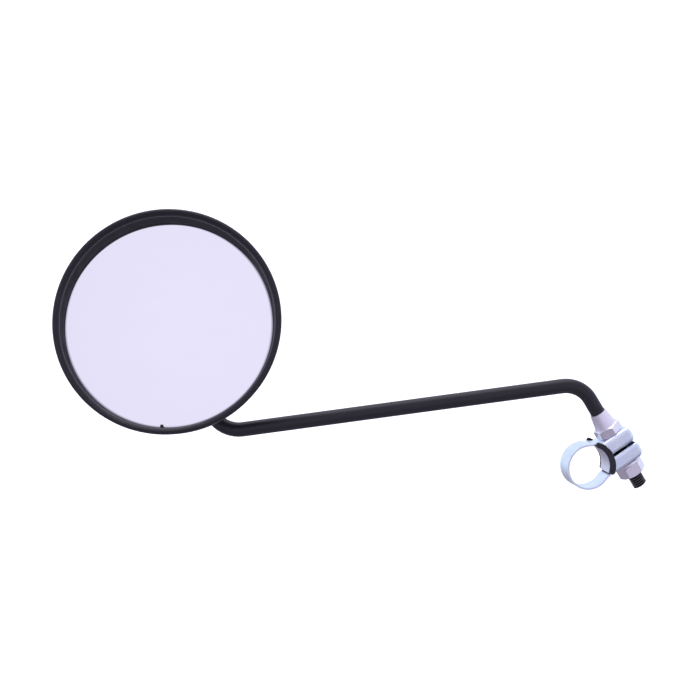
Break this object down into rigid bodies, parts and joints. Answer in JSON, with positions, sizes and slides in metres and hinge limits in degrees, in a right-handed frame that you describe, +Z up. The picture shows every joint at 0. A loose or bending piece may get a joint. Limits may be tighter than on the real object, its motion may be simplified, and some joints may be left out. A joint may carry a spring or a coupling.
{
  "type": "bike mirror",
  "caption": "Round rear-view mirror in a deep black rim on a bent black steel rod, with a ball joint behind the glass and a split band clamp for the handlebar.",
  "frame": {"origin": "centre of the handlebar clamp's bore, at the middle of the band's width", "axes": "+Y along the handlebar, away from the side that the mirror faces; +Z up; the rod runs off towards -X"},
  "size_m": [0.3076, 0.0813, 0.1503],
  "materials": {
    "blue_zinc": "clear blue zinc plate on pressed steel, satin bright",
    "bright_zinc": "bright zinc plate, satin",
    "bright_nickel": "bright plated, turned and pressed faces",
    "turned_steel": "turned and greased steel",
    "spring_steel": "blued spring steel",
    "black_coat": "satin black powder coat",
    "black_shell": "satin black moulded plastic",
    "black_rubber": "matt black rubber",
    "grey_foam": "closed-cell foam",
    "white_nylon": "natural nylon",
    "mirror_glass": "back-silvered flat glass"
  },
  "bodies": {
    "clamp": {"clamp_band": "blue_zinc", "bridge_plate": "bright_zinc", "clamp_pad": "black_rubber"},
    "arm": {"mirror_rod": "black_coat", "ball_end": "turned_steel", "dust_boot": "black_rubber", "taper_nut": "bright_nickel"},
    "washer": {"flat_washer": "bright_zinc"},
    "nut": {"clamp_nut": "bright_nickel"},
    "liner": {"friction_liner": "white_nylon"},
    "cup": {"socket_cup": "turned_steel"},
    "head": {"housing_shell": "black_shell", "pressure_plate": "bright_zinc", "plate_screws": "bright_zinc", "wave_spring": "spring_steel", "glass_cushion": "grey_foam", "mirror_glass": "mirror_glass", "edge_gasket": "black_rubber", "bezel_ring": "black_shell"}
  },
  "joints": [
    {"name": "arm_swivel", "type": "hinge", "parent": "clamp", "child": "arm", "pos_m": [0.01705, 0, 0.01045], "axis": [-0.5225, 0, 0.8526], "continuous": true},
    {"name": "washer_slide", "type": "slide", "parent": "arm", "child": "washer", "axis": [0.5225, 0, -0.8526], "range_m": [0, 0.00625]},
    {"name": "nut_turn", "type": "hinge", "parent": "washer", "child": "nut", "pos_m": [0.01705, 0, 0.01045], "axis": [0.5225, 0, -0.8526], "range_deg": [0, 1806]},
    {"name": "head_pan", "type": "hinge", "parent": "arm", "child": "liner", "pos_m": [-0.21079, 0.05254, 0.0729], "axis": [0.0944, 0.3167, 0.9438], "range_deg": [-12, 12]},
    {"name": "head_tilt", "type": "hinge", "parent": "liner", "child": "cup", "pos_m": [-0.21079, 0.05254, 0.0729], "axis": [0.9583, -0.2857, 0], "range_deg": [-12, 12]},
    {"name": "head_spin", "type": "hinge", "parent": "cup", "child": "head", "pos_m": [-0.21079, 0.05254, 0.0729], "axis": [-0.2696, -0.9045, 0.3305], "continuous": true}
  ],
  "couplings": [
    {"joint": "nut_turn", "follows": "washer_slide", "rad_per_m": 5026.5}
  ]
}
